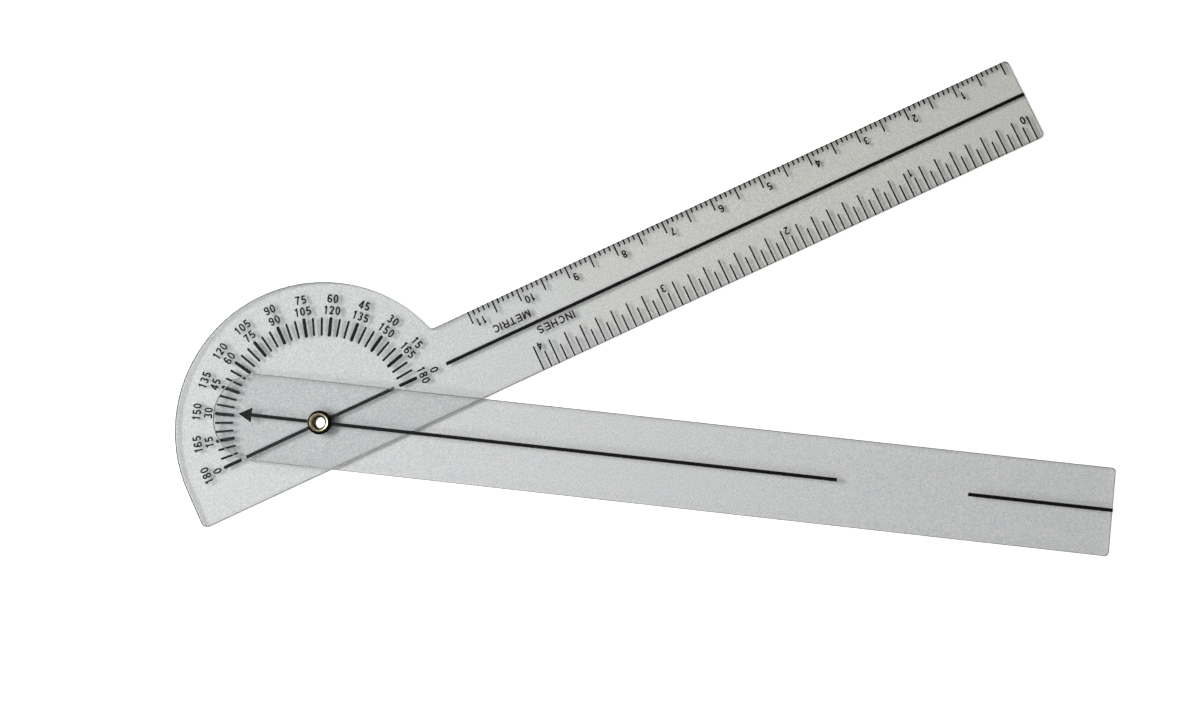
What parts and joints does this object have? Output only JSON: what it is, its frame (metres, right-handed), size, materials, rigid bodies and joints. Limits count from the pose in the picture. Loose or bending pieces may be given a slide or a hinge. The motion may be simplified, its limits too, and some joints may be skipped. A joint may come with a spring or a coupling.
{
  "type": "angle finder with arms",
  "caption": "Clear pocket angle finder: a plate with a half-round degree dial and a ruler arm, and a moving arm with a hairline that turns on a hollow metal eyelet.",
  "frame": {"origin": "on the pivot axis, at the underside of the base plate, where the eyelet's straight bore ends", "axes": "+Z along the pivot axis from the base plate towards the moving arm, +X along the ruler arm away from the pivot, +Y towards the metric edge"},
  "size_m": [0.1731, 0.1098, 0.003],
  "materials": {
    "clear_plastic": "clear, smooth, faintly grey",
    "printing_ink": "black print, slightly glossy",
    "eyelet_metal": "aged, dark bronze in the rolled edge, bright on the crest"
  },
  "bodies": {
    "base": {"protractor_plate": "clear_plastic", "pivot_eyelet": "eyelet_metal", "degree_ticks_major": "printing_ink", "degree_ticks_minor": "printing_ink", "degree_numbers_outer": "printing_ink", "degree_numbers_inner": "printing_ink", "diameter_line": "printing_ink", "ruler_line": "printing_ink", "metric_ticks": "printing_ink", "metric_numbers": "printing_ink", "metric_label": "printing_ink", "inch_ticks": "printing_ink", "inch_numbers": "printing_ink", "inch_label": "printing_ink"},
    "arm": {"moving_arm": "clear_plastic", "arm_hairline": "printing_ink", "arm_arrowhead": "printing_ink"}
  },
  "joints": [
    {"name": "arm_hinge", "type": "hinge", "parent": "base", "child": "arm", "pos_m": [0, 0, 0.0016], "axis": [0, 0, 1], "continuous": true}
  ]
}
